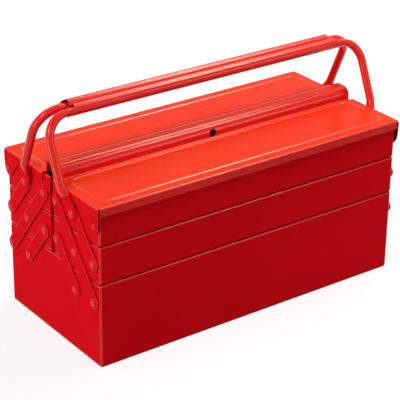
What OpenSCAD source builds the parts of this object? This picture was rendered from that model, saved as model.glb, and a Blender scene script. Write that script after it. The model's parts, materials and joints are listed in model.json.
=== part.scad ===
// Cantilever tool box in painted sheet steel: a bottom box, two tiers of trays that swing
// out to the front and to the rear on riveted arms, two hinged lids and two bail handles.
// +X runs along the box, the front faces -Y, +Z is up, origin at the centre of the underside.
// Everything is modelled for the front and for the left end, and mirrored to the others.

/* [Body] */
// Length over the lids, left to right
lid_l = 430; // [380:1:520]
// Width over both closed lids, front to rear
box_w = 200; // [185:1:250]
// Height of the bottom box up to its rim
base_h = 103.6; // [85:0.1:140]
// Height of each tray up to its rim
tray_h = 46.6; // [42:0.1:60]
// Thickness of the sheet steel
sheet = 1; // [0.8:0.1:1.2]
// Outer radius of the bends along the bottom of box and trays
bottom_bend = 3; // [2:0.1:4]
// Outer radius of the upright corners of box and trays
corner_bend = 3; // [2.8:0.1:4]
// Extra thickness of the rolled rim on the inside of a wall
rim_fold = 1.2; // [0.8:0.1:1.4]
// Depth of the folded rim below its top
rim_depth = 7; // [5:0.5:10]
// Gap between a rim and the tray that stands on it
stack_gap = 0.4; // [0.3:0.1:0.8]
// Gap between the front trays and the rear trays
tray_gap = 2.5; // [1.5:0.1:4]

/* [Lids] */
// Gap between an end wall and the lid's end skirt
lid_end_gap = 1.5; // [1.2:0.1:2]
// Gap between a long wall and the lid's front skirt
lid_front_gap = 2; // [1.5:0.1:3]
// Gap between the tray rim and the underside of a lid
lid_rest_gap = 0.6; // [0.5:0.1:1]
// Outer radius of the bends around a lid
lid_bend = 1.6; // [1.4:0.1:2.5]
// Height of the skirts below the top of a lid
skirt_h = 10.5; // [8:0.5:14]
// Height of the lid pivots below the top of the lids
ear_drop = 23.2; // [22.5:0.1:26]
// Width over which an ear tapers into its skirt
ear_taper = 22; // [16:1:30]
// Width of the slit between a lid's front skirt and end skirt
corner_slit = 1.6; // [1:0.1:2.5]
// Half the width of the hood that covers the joint between the lids
hood_half_w = 14; // [12:0.5:16]
// Height of the hood above the lids
hood_h = 15.4; // [14:0.1:18]
// Outer radius of the hood's upper edges
hood_r = 10.5; // [8:0.5:11.5]
// Radius of the bend between a lid's panel and the hood
hood_fillet = 1.6; // [1:0.1:2.5]
// Distance from a lid's end to the hood's end
hood_inset = 6; // [4:0.5:12]
// Height of the hood's rear lip above the lids
lip_h = 10; // [9.8:0.1:11]
// Gap between the hood and the flange of the rear lid
flange_gap = 0.8; // [0.6:0.1:1.5]
// Height of the rear lid's flange above the lids
flange_h = 11.6; // [11:0.1:12.5]
// Diameter of the padlock hole in the flange
padlock_d = 9; // [8:0.5:9.5]
// Height of the padlock hole's centre above the lids
padlock_h = 5.4; // [5.2:0.1:5.6]
// Extra radius of the padlock hole in the hood
padlock_play = 0.3; // [0.2:0.1:0.4]
// Distance of the stamped bead from a lid's long edge and ends
bead_inset = 13.5; // [10:0.5:20]
// Distance of the stamped bead from the hood's side of a lid
bead_hood_gap = 4.5; // [3.5:0.5:8]
// Radius of the bead's corners
bead_corner = 10; // [6:1:16]
// Height of the bead above the lid
bead_h = 0.9; // [0.5:0.1:1]
// Radius of the bead's round section
bead_r = 1.8; // [1.5:0.1:2.5]

/* [Arms and rivets] */
// Width of the arms
arm_w = 15; // [13:0.5:18]
// Thickness of the arms
arm_t = 2; // [1.5:0.1:2.5]
// Distance of the outer pivots from the long walls
pivot_edge = 9; // [8.5:0.5:12]
// Distance of the inner pivots from the inner walls of the trays
pivot_inner = 11.75; // [10:0.25:16]
// Height of a tray's pivots above its bottom
pivot_h = 24; // [20:0.5:28]
// Thickness of the washers between walls and arms
washer_t = 1; // [0.8:0.1:1.5]
// Diameter of the washers
washer_d = 11; // [10:0.5:13]
// Side play of an arm on its rivet, each face
arm_play = 0.1; // [0.1:0.05:0.2]
// Diameter of the rivets
rivet_d = 5; // [4:0.5:5.5]
// Radial play of an arm, ear or handle on its rivet
rivet_play = 0.15; // [0.1:0.05:0.2]
// Radial play of a rivet in a wall or washer
wall_play = 0.05; // [0.05:0.01:0.1]
// Diameter of the rivet heads
head_d = 9.6; // [8:0.2:11]
// Height of the rivet heads
head_h = 1.9; // [1.5:0.1:2.1]
// Diameter of the rivets' inner heads
tail_d = 8; // [7:0.5:9]
// Diameter of the lid rivets
lid_rivet_d = 3.5; // [3:0.1:4]
// Diameter of the lid rivets' outer heads
lid_head_d = 7.2; // [6:0.2:8]
// Diameter of the lid rivets' inner heads
lid_tail_d = 5; // [4.6:0.1:5.4]
// Diameter of the lid washers
lid_washer_d = 8; // [7:0.5:9]
// Height of the rivets' inner heads
tail_h = 1.2; // [1:0.1:1.5]

/* [Handles] */
// Outer diameter of the handle tube
tube_d = 10; // [8:0.2:11]
// Distance from the handle pivot to the middle of the grip
handle_reach = 109; // [100:1:130]
// Radius of the handle's bends along the middle of the tube
handle_bend = 30; // [22:1:40]
// Width of the flattened tube end
tab_w = 14.5; // [13:0.5:16]
// Thickness of the flattened tube end
tab_t = 2.2; // [2:0.1:2.5]
// Length of the flattened tube end above its pivot
tab_l = 10; // [9:0.5:14]
// Distance from the pivot at which the tube is round again
crank_l = 31; // [26:1:36]
// Gap between an arm and the handle's end
tab_gap = 0.2; // [0.2:0.1:0.4]
// Gap between the handle's legs and the arms' rivet heads
leg_gap = 0.6; // [0.4:0.1:1.5]
// Outer diameter of the front grip sleeve
front_grip_d = 13; // [12.5:0.1:13.8]
// Outer diameter of the rear grip sleeve
rear_grip_d = 13.6; // [12.5:0.1:13.8]
// Gap between the two grips when the handles are up
grip_gap = 1.7; // [1:0.1:3]
// Distance from a grip's upper edge to the start of the tube's bend
grip_end_gap = 8; // [6:1:20]
// Length by which a grip's slanted ends reach further along its underside
grip_slant = 10; // [4:1:11]
// Gap between the tube and a grip sleeve's underside
grip_play = 0.1; // [0.1:0.05:0.3]
// Width of the open seam along a grip sleeve
grip_seam = 2; // [1:0.5:3]

/* [Dividers] */
// Distance of each divider from the middle of its tray
divider_x = 70; // [50:1:90]
// Height of the dividers
divider_h = 30; // [20:1:34]
// Width of the dividers' spot-welded foot
divider_foot = 9; // [6:1:14]
// Gap between the dividers and the long walls
divider_gap = 0.3; // [0.2:0.1:0.6]

/* [Hidden] */
$fn = 64;
// Overlap of shapes that are one piece, and reach of a cutter past what it cuts
lap = 0.01;
cut = 1;
body_l = lid_l - 2 * (sheet + lid_end_gap);
body_w = box_w - 2 * (sheet + lid_front_gap);
wall_x = body_l / 2;
wall_y = body_w / 2;
rim_t = sheet + rim_fold;
rim_r = rim_t / 2;
tray_w = (body_w - tray_gap) / 2;
tier = tray_h + stack_gap;
middle_z = base_h + stack_gap;
upper_z = middle_z + tier;
lid_under = upper_z + tray_h + lid_rest_gap;
lid_top = lid_under + sheet;
// Pivot rows: three across the front half, one level for each tier
row_out = wall_y - pivot_edge;
row_in = tray_gap / 2 + pivot_inner;
row_mid = (row_out + row_in) / 2;
run = row_out - row_mid;
level_middle = middle_z + pivot_h;
level_base = level_middle - tier;
level_upper = level_middle + tier;
arm_l = sqrt(run * run + tier * tier);
arm_angle = atan2(tier, run);
// Layers outside an end wall
arm_x = wall_x + washer_t + arm_play;
arm_head_x = arm_x + arm_t + arm_play;
tab_x = arm_x + arm_t + tab_gap;
tab_head_x = tab_x + tab_t + arm_play;
ear_head_x = lid_l / 2 + arm_play;
rivet_r = rivet_d / 2;
lid_rivet_r = lid_rivet_d / 2;
swivel_r = rivet_r + rivet_play;
// Lid hinge: its rivets' inner heads just clear the corner bends, and the ears reach the lid's edge
ear_y = wall_y - corner_bend - lid_tail_d / 2;
ear_r = box_w / 2 - ear_y;
ear_z = lid_top - ear_drop;
skirt_z = lid_top - skirt_h;
// Hood and flange
hood_x = lid_l / 2 - hood_inset;
hood_foot = hood_half_w + hood_fillet;
flange_y = hood_half_w + flange_gap;
padlock_r = padlock_d / 2;
padlock_z = lid_top + padlock_h;
// Handles
tube_r = tube_d / 2;
leg_x = arm_head_x + head_h + leg_gap + tube_r;
bend_x = leg_x - handle_bend;
bend_z = handle_reach - handle_bend;
grip_x = bend_x - grip_end_gap;
grip_y = (front_grip_d / 2 + rear_grip_d / 2 + grip_gap) / 2;
lean = asin((row_mid - grip_y) / handle_reach);
paint = "#d8141c";
paint_light = "#ff4628";
paint_dark = "#b00f18";

// Mirrors the front onto the rear, and the left end onto the right
module rear() {
    mirror([0, 1, 0])
        children();
}

module right() {
    mirror([1, 0, 0])
        children();
}

module both_ends() {
    children();
    right()
        children();
}

// A cylinder along +X from x0 over a length l
module rod_x(r, x0, l) {
    translate([x0, 0, 0])
        rotate([0, 90, 0])
            cylinder(r = r, h = l);
}

// A bore through an end wall, at a pivot
module wall_bore(y, z, r = rivet_r + wall_play) {
    translate([0, y, z])
        rod_x(r, -lid_l / 2 - cut, rim_t + lid_end_gap + 2 * cut);
}

// Outline w wide and h high, with both lower corners rounded
module trough_outline(w, h, r) {
    translate([-w / 2, r])
        square([w, h - r]);
    translate([-w / 2 + r, 0])
        square([w - 2 * r, h]);
    for (x = [-w / 2 + r, w / 2 - r])
        translate([x, r])
            circle(r = r);
}

// Rectangle with round corners, centred
module round_plan(l, w, r) {
    square([l - 2 * r, w], center = true);
    square([l, w - 2 * r], center = true);
    for (x = [-l / 2 + r, l / 2 - r], y = [-w / 2 + r, w / 2 - r])
        translate([x, y])
            circle(r = r);
}

// Block with rounded lower edges and rounded upright corners, standing on z = 0
module tub(l, w, h, r_bottom, r_corner) {
    intersection() {
        rotate([90, 0, 90])
            linear_extrude(l, center = true)
                trough_outline(w, h, r_bottom);
        rotate([90, 0, 0])
            linear_extrude(w, center = true)
                trough_outline(l, h, r_bottom);
        linear_extrude(h)
            round_plan(l, w, r_corner);
    }
}

// Round wire along the edges of a rectangle with round corners, at z = 0
module round_loop(l, w, corner, r) {
    for (s = [-1, 1]) {
        translate([0, s * w / 2, 0])
            rod_x(r, -l / 2 + corner, l - 2 * corner);
        translate([s * l / 2, 0, 0])
            rotate([90, 0, 0])
                cylinder(r = r, h = w - 2 * corner, center = true);
    }
    for (quarter = [0:3])
        translate([(quarter == 0 || quarter == 3 ? 1 : -1) * (l / 2 - corner),
                   (quarter < 2 ? 1 : -1) * (w / 2 - corner), 0])
            rotate([0, 0, 90 * quarter])
                rotate_extrude(angle = 90)
                    translate([corner, 0])
                        circle(r = r);
}

// Open sheet box with a rolled rim around its top
module open_box(l, w, h) {
    wall_h = h - rim_r;
    difference() {
        tub(l, w, wall_h, bottom_bend, corner_bend);
        translate([0, 0, sheet])
            tub(l - 2 * sheet, w - 2 * sheet, wall_h, bottom_bend - sheet, corner_bend - sheet);
    }
    translate([0, 0, h - rim_depth])
        difference() {
            linear_extrude(rim_depth - rim_r)
                round_plan(l, w, corner_bend);
            translate([0, 0, -cut])
                linear_extrude(rim_depth + cut)
                    round_plan(l - 2 * rim_t, w - 2 * rim_t, corner_bend - rim_t);
        }
    translate([0, 0, wall_h])
        round_loop(l - rim_t, w - rim_t, corner_bend - rim_r, rim_r);
}

module bottom_box() {
    color(paint)
        difference() {
            open_box(body_l, body_w, base_h);
            both_ends()
                for (s = [-1, 1], y = [row_mid, row_out])
                    wall_bore(s * y, level_base);
        }
}

// A front tray standing at height z, with bores at the given rows
module tray(z, rows) {
    color(paint)
        difference() {
            translate([0, -(tray_gap + tray_w) / 2, z])
                open_box(body_l, tray_w, tray_h);
            both_ends()
                for (y = rows)
                    wall_bore(-y, z + pivot_h);
            if (z == upper_z)
                both_ends()
                    wall_bore(-ear_y, ear_z, lid_rivet_r + wall_play);
        }
}

module front_middle_tray() {
    tray(middle_z, [row_in, row_mid, row_out]);
}

module front_upper_tray() {
    tray(upper_z, [row_in, row_mid]);
}

// Two sheet dividers with a welded foot, across a front tray standing at height z
module dividers(z) {
    inner_w = tray_w - 2 * (rim_t + divider_gap);
    chamfer = bottom_bend;
    color(paint_dark)
        for (s = [-1, 1])
            translate([s * divider_x, -(tray_gap + tray_w) / 2, z + sheet]) {
                rotate([90, 0, 90])
                    linear_extrude(sheet, center = true)
                        polygon([[-inner_w / 2 + chamfer, 0], [inner_w / 2 - chamfer, 0],
                                 [inner_w / 2, chamfer], [inner_w / 2, divider_h],
                                 [-inner_w / 2, divider_h], [-inner_w / 2, chamfer]]);
                translate([s > 0 ? -lap : lap - divider_foot, chamfer - inner_w / 2, 0])
                    cube([divider_foot, inner_w - 2 * chamfer, sheet]);
            }
}

// Outline of a lid's end skirt in the Y-Z plane, with its hinge ear
module skirt_outline() {
    edge = box_w / 2;
    reach = [ear_y - (edge - ear_r - ear_taper), skirt_z - ear_z];
    slope = atan2(reach[1], reach[0]) - acos(ear_r / norm(reach));
    translate([-edge, skirt_z])
        square([edge, lid_top - skirt_z]);
    translate([-ear_y, ear_z]) {
        circle(r = ear_r);
        polygon([[-ear_r, 0], [0, 0], [ear_r * cos(slope), ear_r * sin(slope)],
                 reach, [reach[0], reach[1] + lap], [-ear_r, reach[1] + lap]]);
    }
}

// Pressed cap of one front lid: panel and skirts as one bent sheet, up to y = inner_y
module lid_cap(inner_y) {
    depth = ear_drop + ear_r + cut;
    difference() {
        lid_block(lid_l, box_w / 2, lid_top, lid_bend, inner_y);
        lid_block(lid_l - 2 * sheet, box_w / 2 - sheet, lid_under, lid_bend - sheet, inner_y + cut);
        // What the end skirts leave free
        difference() {
            translate([-lid_l / 2 - cut, -box_w / 2 + sheet, lid_top - depth - cut])
                cube([lid_l + 2 * cut, box_w / 2 + cut, depth + cut - sheet - lid_bend]);
            rotate([90, 0, 90])
                linear_extrude(lid_l + 4 * cut, center = true)
                    skirt_outline();
        }
        // What the front skirt leaves free
        translate([-lid_l / 2 + sheet, -box_w / 2 - cut, lid_top - depth - cut])
            cube([lid_l - 2 * sheet, sheet + 2 * cut, depth + cut - skirt_h]);
        both_ends()
            translate([-lid_l / 2 + sheet, -box_w / 2 - cut, lid_top - depth - cut])
                cube([corner_slit, sheet + 2 * cut, depth + cut - sheet - lid_bend]);
        // Round lower corner of each ear
        both_ends()
            translate([-lid_l / 2 - cut, -box_w / 2 - cut, ear_z - ear_r - cut])
                difference() {
                    cube([sheet + 2 * cut, ear_r + cut, ear_r + cut]);
                    translate([0, ear_r + cut, ear_r + cut])
                        rod_x(ear_r, -cut, sheet + 4 * cut);
                }
        both_ends()
            wall_bore(-ear_y, ear_z, lid_rivet_r + rivet_play);
    }
}

// Solid block that a lid is bent around: rounded along its front and end edges
module lid_block(l, edge, top, r, inner_y) {
    bottom = ear_z - ear_r;
    h = top - bottom;
    intersection() {
        rotate([90, 0, 90])
            linear_extrude(l, center = true)
                difference() {
                    translate([-edge, bottom])
                        square([edge + inner_y, h]);
                    translate([-edge, top - r])
                        difference() {
                            translate([-cut, 0])
                                square([r + cut, r + cut]);
                            translate([r, 0])
                                circle(r = r);
                        }
                }
        translate([0, 0, top])
            mirror([0, 0, 1])
                rotate([90, 0, 0])
                    linear_extrude(4 * edge, center = true)
                        trough_outline(l, h + cut, r);
    }
}

// Stamped bead: a half-round loop on top of a front lid between two values of y
module bead(y_front, y_back) {
    intersection() {
        translate([0, (y_front + y_back) / 2, lid_top + bead_h - bead_r])
            round_loop(lid_l - 2 * bead_inset, y_back - y_front, bead_corner, bead_r);
        translate([-lid_l / 2, -box_w / 2, lid_top - sheet / 2])
            cube([lid_l, box_w, sheet + bead_h]);
    }
}

// Outline of the hood over the joint of the lids, grown by t
module hood_outline(t) {
    half = hood_half_w + t;
    r = hood_r + t;
    translate([-half, lid_under - cut])
        square([2 * half, hood_h + sheet + t + cut - r]);
    translate([-half + r, lid_under - cut])
        square([2 * (half - r), hood_h + sheet + t + cut]);
    for (s = [-1, 1])
        translate([s * (half - r), lid_top + hood_h + t - r])
            circle(r = r);
}

// Hood: front wall, round top and a rear lip that ends above the rear tray's path
module hood() {
    difference() {
        rotate([90, 0, 90])
            linear_extrude(2 * hood_x, center = true)
                difference() {
                    union() {
                        hood_outline(0);
                        // Bend between panel and hood
                        translate([-hood_foot, lid_under])
                            square([hood_fillet + lap, sheet + hood_fillet]);
                    }
                    hood_outline(-sheet);
                    translate([-hood_foot, lid_top + hood_fillet])
                        circle(r = hood_fillet);
                    translate([0, lid_under - 2 * cut])
                        square([2 * hood_half_w, lip_h + sheet + 2 * cut]);
                    translate([-box_w / 2, lid_under - 2 * hood_r])
                        square([box_w, 2 * hood_r]);
                }
        translate([0, -hood_half_w - cut, padlock_z])
            rotate([-90, 0, 0])
                cylinder(r = padlock_r + padlock_play, h = hood_half_w);
    }
}

module front_lid() {
    color(paint_light) {
        difference() {
            lid_cap(-hood_half_w + sheet);
            // The panel is notched beyond the hood's ends
            both_ends()
                translate([-lid_l / 2 - cut, -hood_foot, lid_under - skirt_h])
                    cube([hood_inset + cut, hood_foot, 2 * skirt_h]);
        }
        hood();
        bead(-box_w / 2 + bead_inset, -hood_half_w - bead_hood_gap);
    }
}

// Upright flange on the inner edge of the rear lid, drawn at the front
module flange() {
    difference() {
        translate([-hood_x, -flange_y - sheet, lid_under])
            cube([2 * hood_x, sheet, sheet + flange_h]);
        translate([0, -flange_y + cut, padlock_z])
            rotate([90, 0, 0])
                cylinder(r = padlock_r, h = sheet + 2 * cut);
    }
}

module rear_lid() {
    color(paint_light)
        rear() {
            lid_cap(-flange_y);
            flange();
            bead(-box_w / 2 + bead_inset, -hood_half_w - bead_hood_gap);
        }
}

// Flat arm with round ends, from a lower pivot up towards the middle of the box
module arm(y, z, bays) {
    translate([-arm_x - arm_t, -y, z])
        rotate([arm_angle, 0, 0])
            rotate([90, 0, 90])
                linear_extrude(arm_t)
                    difference() {
                        union() {
                            translate([0, -arm_w / 2])
                                square([bays * arm_l, arm_w]);
                            for (bay = [0, bays])
                                translate([bay * arm_l, 0])
                                    circle(d = arm_w);
                        }
                        for (bay = [0:bays])
                            translate([bay * arm_l, 0])
                                circle(r = swivel_r);
                    }
}

module long_arm() {
    color(paint)
        arm(row_out, level_base, 2);
}

module lower_arm() {
    color(paint)
        arm(row_mid, level_base, 1);
}

module upper_arm() {
    color(paint)
        arm(row_out, level_middle, 1);
}

// Domed rivet through an end wall at a pivot; its head stands on head_x
module rivet(y, z, head_x, r = rivet_r, head = head_d, tail = tail_d) {
    dome_r = (head * head / 4 + head_h * head_h) / (2 * head_h);
    tail_x = wall_x - sheet;
    color(paint_light)
        translate([0, -y, z])
            rotate([0, -90, 0])
                rotate_extrude() {
                    translate([0, tail_x - tail_h])
                        square([tail / 2, tail_h]);
                    translate([0, tail_x - tail_h])
                        square([r, head_x - tail_x + 2 * tail_h]);
                    intersection() {
                        translate([0, head_x + head_h - dome_r])
                            circle(r = dome_r);
                        translate([0, head_x])
                            square([head, head_h + cut]);
                    }
                }
}

// Washer between an end wall and what turns on the rivet
module washer(y, z, t = washer_t, d = washer_d, r = rivet_r) {
    color(paint)
        translate([-wall_x - t, -y, z])
            difference() {
                rod_x(d / 2, 0, t);
                rod_x(r + wall_play, -cut, t + 2 * cut);
            }
}

module base_rivets() {
    both_ends()
        for (y = [-row_out, -row_mid, row_mid, row_out])
            rivet(y, level_base, arm_head_x);
}

module base_washers() {
    both_ends()
        for (y = [-row_out, -row_mid, row_mid, row_out])
            washer(y, level_base);
}

module middle_rivets() {
    both_ends()
        for (y = [row_in, row_mid, row_out])
            rivet(y, level_middle, arm_head_x);
}

module middle_washers() {
    both_ends()
        for (y = [row_in, row_mid, row_out])
            washer(y, level_middle);
}

module upper_rivets() {
    both_ends()
        rivet(row_in, level_upper, arm_head_x);
}

module upper_washers() {
    both_ends()
        for (y = [row_in, row_mid])
            washer(y, level_upper);
}

module handle_rivets() {
    both_ends()
        rivet(row_mid, level_upper, tab_head_x);
}

module lid_rivets() {
    both_ends()
        rivet(ear_y, ear_z, ear_head_x, lid_rivet_r, lid_head_d, lid_tail_d);
}

module lid_washers() {
    both_ends()
        washer(ear_y, ear_z, lid_end_gap - arm_play, lid_washer_d, lid_rivet_r);
}

// Puts a handle drawn upright over its pivots into its leaning place at the front
module place_handle() {
    translate([0, -row_mid, level_upper])
        rotate([-lean, 0, 0])
            children();
}

// Half of a tube handle: flattened end, crank, leg and bend
module handle_half() {
    disc = 1;
    difference() {
        translate([-tab_x - tab_t, 0, 0])
            rotate([90, 0, 90])
                linear_extrude(tab_t) {
                    circle(d = tab_w);
                    translate([-tab_w / 2, 0])
                        square([tab_w, tab_l]);
                }
        rod_x(swivel_r, -tab_x - tab_t - cut, tab_t + 2 * cut);
    }
    hull() {
        translate([-tab_x - tab_t, -tab_w / 2, tab_l - disc])
            cube([tab_t, tab_w, disc]);
        translate([-leg_x, 0, crank_l])
            cylinder(r = tube_r, h = disc, $fn = 32);
    }
    translate([-leg_x, 0, crank_l])
        cylinder(r = tube_r, h = bend_z - crank_l);
    translate([-bend_x, 0, bend_z])
        rotate([90, 0, 0])
            rotate([0, 0, 90])
                rotate_extrude(angle = 90)
                    translate([handle_bend, 0])
                        circle(r = tube_r);
    translate([0, 0, handle_reach])
        rod_x(tube_r, -bend_x - lap, bend_x + 2 * lap);
}

module handle() {
    color(paint)
        place_handle()
            both_ends()
                handle_half();
}

// Grip: sheet rolled around the tube, which lies low in it, with slanted ends and an open seam
module grip_sleeve(d) {
    low_x = grip_x + grip_slant;
    over = cut * grip_slant / d;
    color(paint_light)
        place_handle()
            translate([0, 0, handle_reach + d / 2 - sheet - tube_r - grip_play])
                difference() {
                    rod_x(d / 2, -low_x, 2 * low_x);
                    rod_x(d / 2 - sheet, -low_x - cut, 2 * (low_x + cut));
                    translate([-low_x - cut, -grip_seam / 2, -d])
                        cube([2 * (low_x + cut), grip_seam, d]);
                    both_ends()
                        rotate([90, 0, 0])
                            linear_extrude(2 * d, center = true)
                                polygon([[-low_x - over, -d / 2 - cut], [-grip_x + over, d / 2 + cut],
                                         [-low_x - cut, d / 2 + cut], [-low_x - cut, -d / 2 - cut]]);
                }
}

bottom_box();
front_middle_tray();
front_upper_tray();
front_lid();
rear() front_middle_tray();  // rear_middle_tray
rear() front_upper_tray();  // rear_upper_tray
rear_lid();
dividers(middle_z);  // front_middle_dividers
dividers(upper_z);  // front_upper_dividers
rear() dividers(middle_z);  // rear_middle_dividers
rear() dividers(upper_z);  // rear_upper_dividers
long_arm();  // front_left_long_arm
right() long_arm();  // front_right_long_arm
lower_arm();  // front_left_lower_arm
right() lower_arm();  // front_right_lower_arm
upper_arm();  // front_left_upper_arm
right() upper_arm();  // front_right_upper_arm
rear() long_arm();  // rear_left_long_arm
rear() right() long_arm();  // rear_right_long_arm
rear() lower_arm();  // rear_left_lower_arm
rear() right() lower_arm();  // rear_right_lower_arm
rear() upper_arm();  // rear_left_upper_arm
rear() right() upper_arm();  // rear_right_upper_arm
handle();  // front_handle
grip_sleeve(front_grip_d);  // front_grip_sleeve
rear() handle();  // rear_handle
rear() grip_sleeve(rear_grip_d);  // rear_grip_sleeve
base_rivets();
base_washers();
middle_rivets();  // front_middle_rivets
middle_washers();  // front_middle_washers
rear() middle_rivets();  // rear_middle_rivets
rear() middle_washers();  // rear_middle_washers
upper_rivets();  // front_upper_rivets
upper_washers();  // front_upper_washers
rear() upper_rivets();  // rear_upper_rivets
rear() upper_washers();  // rear_upper_washers
handle_rivets();  // front_handle_rivets
rear() handle_rivets();  // rear_handle_rivets
lid_rivets();  // front_lid_rivets
lid_washers();  // front_lid_washers
rear() lid_rivets();  // rear_lid_rivets
rear() lid_washers();  // rear_lid_washers
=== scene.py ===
import json
import math

import bmesh
import bpy
from mathutils import Matrix, Vector


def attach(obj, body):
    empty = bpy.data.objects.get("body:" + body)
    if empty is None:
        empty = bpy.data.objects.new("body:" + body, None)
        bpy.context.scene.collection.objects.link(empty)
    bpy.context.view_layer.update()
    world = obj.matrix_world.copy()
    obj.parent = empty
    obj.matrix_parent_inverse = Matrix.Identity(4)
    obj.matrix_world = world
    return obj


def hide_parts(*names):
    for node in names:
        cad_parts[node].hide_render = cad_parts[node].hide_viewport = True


# Looks of a cantilever tool box in glossy red enamel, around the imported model.
# Shapes are worked out in millimetres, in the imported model's frame: +X along the box, the front
# faces -Y. They are drawn for the front and the left end, and mirrored to the others.

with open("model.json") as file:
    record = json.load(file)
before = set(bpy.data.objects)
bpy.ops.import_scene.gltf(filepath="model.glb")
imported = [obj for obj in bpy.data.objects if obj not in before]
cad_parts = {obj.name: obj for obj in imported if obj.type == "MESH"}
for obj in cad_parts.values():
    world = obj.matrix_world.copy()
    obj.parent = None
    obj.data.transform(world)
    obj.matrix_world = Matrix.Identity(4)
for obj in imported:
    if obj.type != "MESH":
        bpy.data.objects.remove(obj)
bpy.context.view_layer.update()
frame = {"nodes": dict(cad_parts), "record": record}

MM = 0.001
WHITE = (1, 1, 1, 1)

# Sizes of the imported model, in millimetres

LID_L = 430
BOX_W = 200
BASE_H = 103.6
TRAY_H = 46.6
SHEET = 1
WALL_BEND = 3
RIM_FOLD = 1.2
RIM_DEPTH = 7
STACK_GAP = 0.4
TRAY_GAP = 2.5
LID_END_GAP = 1.5
LID_FRONT_GAP = 2
LID_REST_GAP = 0.6
LID_BEND = 1.6
SKIRT_H = 10.5
EAR_DROP = 23.2
EAR_TAPER = 22
EAR_R = 8.5
CORNER_SLIT = 1.6
HOOD_HALF_W = 14
HOOD_H = 15.4
HOOD_R = 10.5
HOOD_INSET = 6
LIP_H = 10
FLANGE_GAP = 0.8
FLANGE_BEND = 0.4
FLANGE_H = 11.6
PADLOCK_R = 4.5
PADLOCK_PLAY = 0.3
PADLOCK_H = 5.4
BEAD_INSET = 13.5
BEAD_HOOD_GAP = 4.5
BEAD_CORNER = 10
BEAD_H = 0.9
ARM_W = 15
ARM_T = 2
ARM_PLAY = 0.1
PIVOT_EDGE = 9
PIVOT_INNER = 11.75
PIVOT_H = 24
WASHER_T = 1
WASHER_R = 5.5
WASHER_PLAY = 0.05
RIVET_R = 2.5
HEAD_R = 4.8
HEAD_H = 1.9
TAIL_R = 4
TAIL_H = 1.2
LID_RIVET_R = 1.75
LID_HEAD_R = 3.6
LID_TAIL_R = 2.5
LID_WASHER_R = 4
TUBE_R = 5
HANDLE_REACH = 109
HANDLE_BEND = 30
TAB_W = 14.5
TAB_T = 2.2
TAB_L = 10
TAB_GAP = 0.2
CRANK_L = 31
LEG_GAP = 0.6
GRIP_D = {"front": 13, "rear": 13.6}
GRIP_GAP = 1.7
GRIP_END_GAP = 8
GRIP_SLANT = 10
GRIP_SEAM = 2
GRIP_PLAY = 0.1

# Places that follow from the sizes

WALL_X = LID_L / 2 - SHEET - LID_END_GAP
WALL_Y = BOX_W / 2 - SHEET - LID_FRONT_GAP
RIM_T = SHEET + RIM_FOLD
TRAY_W = WALL_Y - TRAY_GAP / 2
TIER = TRAY_H + STACK_GAP
MIDDLE_Z = BASE_H + STACK_GAP
UPPER_Z = MIDDLE_Z + TIER
LID_TOP = UPPER_Z + TRAY_H + LID_REST_GAP + SHEET
SKIRT_Z = LID_TOP - SKIRT_H
EAR_Y = BOX_W / 2 - EAR_R
EAR_Z = LID_TOP - EAR_DROP
LID_SLIT_X = LID_L / 2 - SHEET - CORNER_SLIT
LID_FOLD_X = LID_L / 2 - LID_BEND
LID_FOLD_Y = BOX_W / 2 - LID_BEND
HOOD_X = LID_L / 2 - HOOD_INSET
HOOD_FOOT = HOOD_HALF_W + LID_BEND
FLANGE_Y = HOOD_HALF_W + FLANGE_GAP
FLANGE_FOOT = -FLANGE_Y - SHEET - FLANGE_BEND
PADLOCK_Z = LID_TOP + PADLOCK_H
ROW_OUT = WALL_Y - PIVOT_EDGE
ROW_IN = TRAY_GAP / 2 + PIVOT_INNER
ROW_MID = (ROW_OUT + ROW_IN) / 2
LEVEL_MIDDLE = MIDDLE_Z + PIVOT_H
LEVELS = {"base": LEVEL_MIDDLE - TIER, "middle": LEVEL_MIDDLE, "upper": LEVEL_MIDDLE + TIER}
ARM_L = math.hypot(ROW_OUT - ROW_MID, TIER)
ARM_ANGLE = math.atan2(TIER, ROW_OUT - ROW_MID)
ARM_X = WALL_X + WASHER_T + ARM_PLAY
ARM_HEAD_X = ARM_X + ARM_T + ARM_PLAY
TAB_X = ARM_X + ARM_T + TAB_GAP
TAB_HEAD_X = TAB_X + TAB_T + ARM_PLAY
EAR_HEAD_X = LID_L / 2 + ARM_PLAY
LEG_X = ARM_HEAD_X + HEAD_H + LEG_GAP + TUBE_R
BEND_X = LEG_X - HANDLE_BEND
BEND_Z = HANDLE_REACH - HANDLE_BEND
GRIP_X = BEND_X - GRIP_END_GAP
GRIP_Y = ((GRIP_D["front"] + GRIP_D["rear"]) / 2 + GRIP_GAP) / 2
LEAN = math.asin((ROW_MID - GRIP_Y) / HANDLE_REACH)

# Camera, floor, lamps and world, in metres, with the camera's lens and sensor in millimetres

CAMERA_EYE = Vector((-1.0308, -1.3872, 0.9475))
CAMERA_AIM = Vector((-0.0156, -0.0112, 0.1209))
CAMERA_ROLL = math.radians(0.773)
CAMERA_LENS = 143.94
CAMERA_SENSOR = 36
CAMERA_CLIP = (0.05, 50)
FLOOR_SIZE = 12
# Grey of the floor as the object's surroundings, and its grey and glow as a background
FLOOR_LIT_GREY = 0.45
FLOOR_SEEN_GREY = 0.25
FLOOR_GLOW = 0.8
WORLD_FILL = 0.15
# Name, place, point that it faces, width and height, power in watts, colour
LAMPS = (
    ("key_left", (-1.9, -0.5, 1.9), (0, 0, 0.12), (0.8, 0.8), 26, (1, 1, 1)),
    ("side_left", (-1.9, -0.16, 0.3), (0, 0, 0.15), (0.4, 0.9), 9, (1, 1, 1)),
    ("overhead_right", (1.07, 0.2, 1.85), (1.07, 0.2, 0), (0.4, 1.9), 40, (1, 0.93, 0.8)),
    ("low_right", (1.1, -1.6, 0.62), (0, 0, 0.2), (0.5, 0.4), 3, (1, 1, 1)),
)


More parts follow.
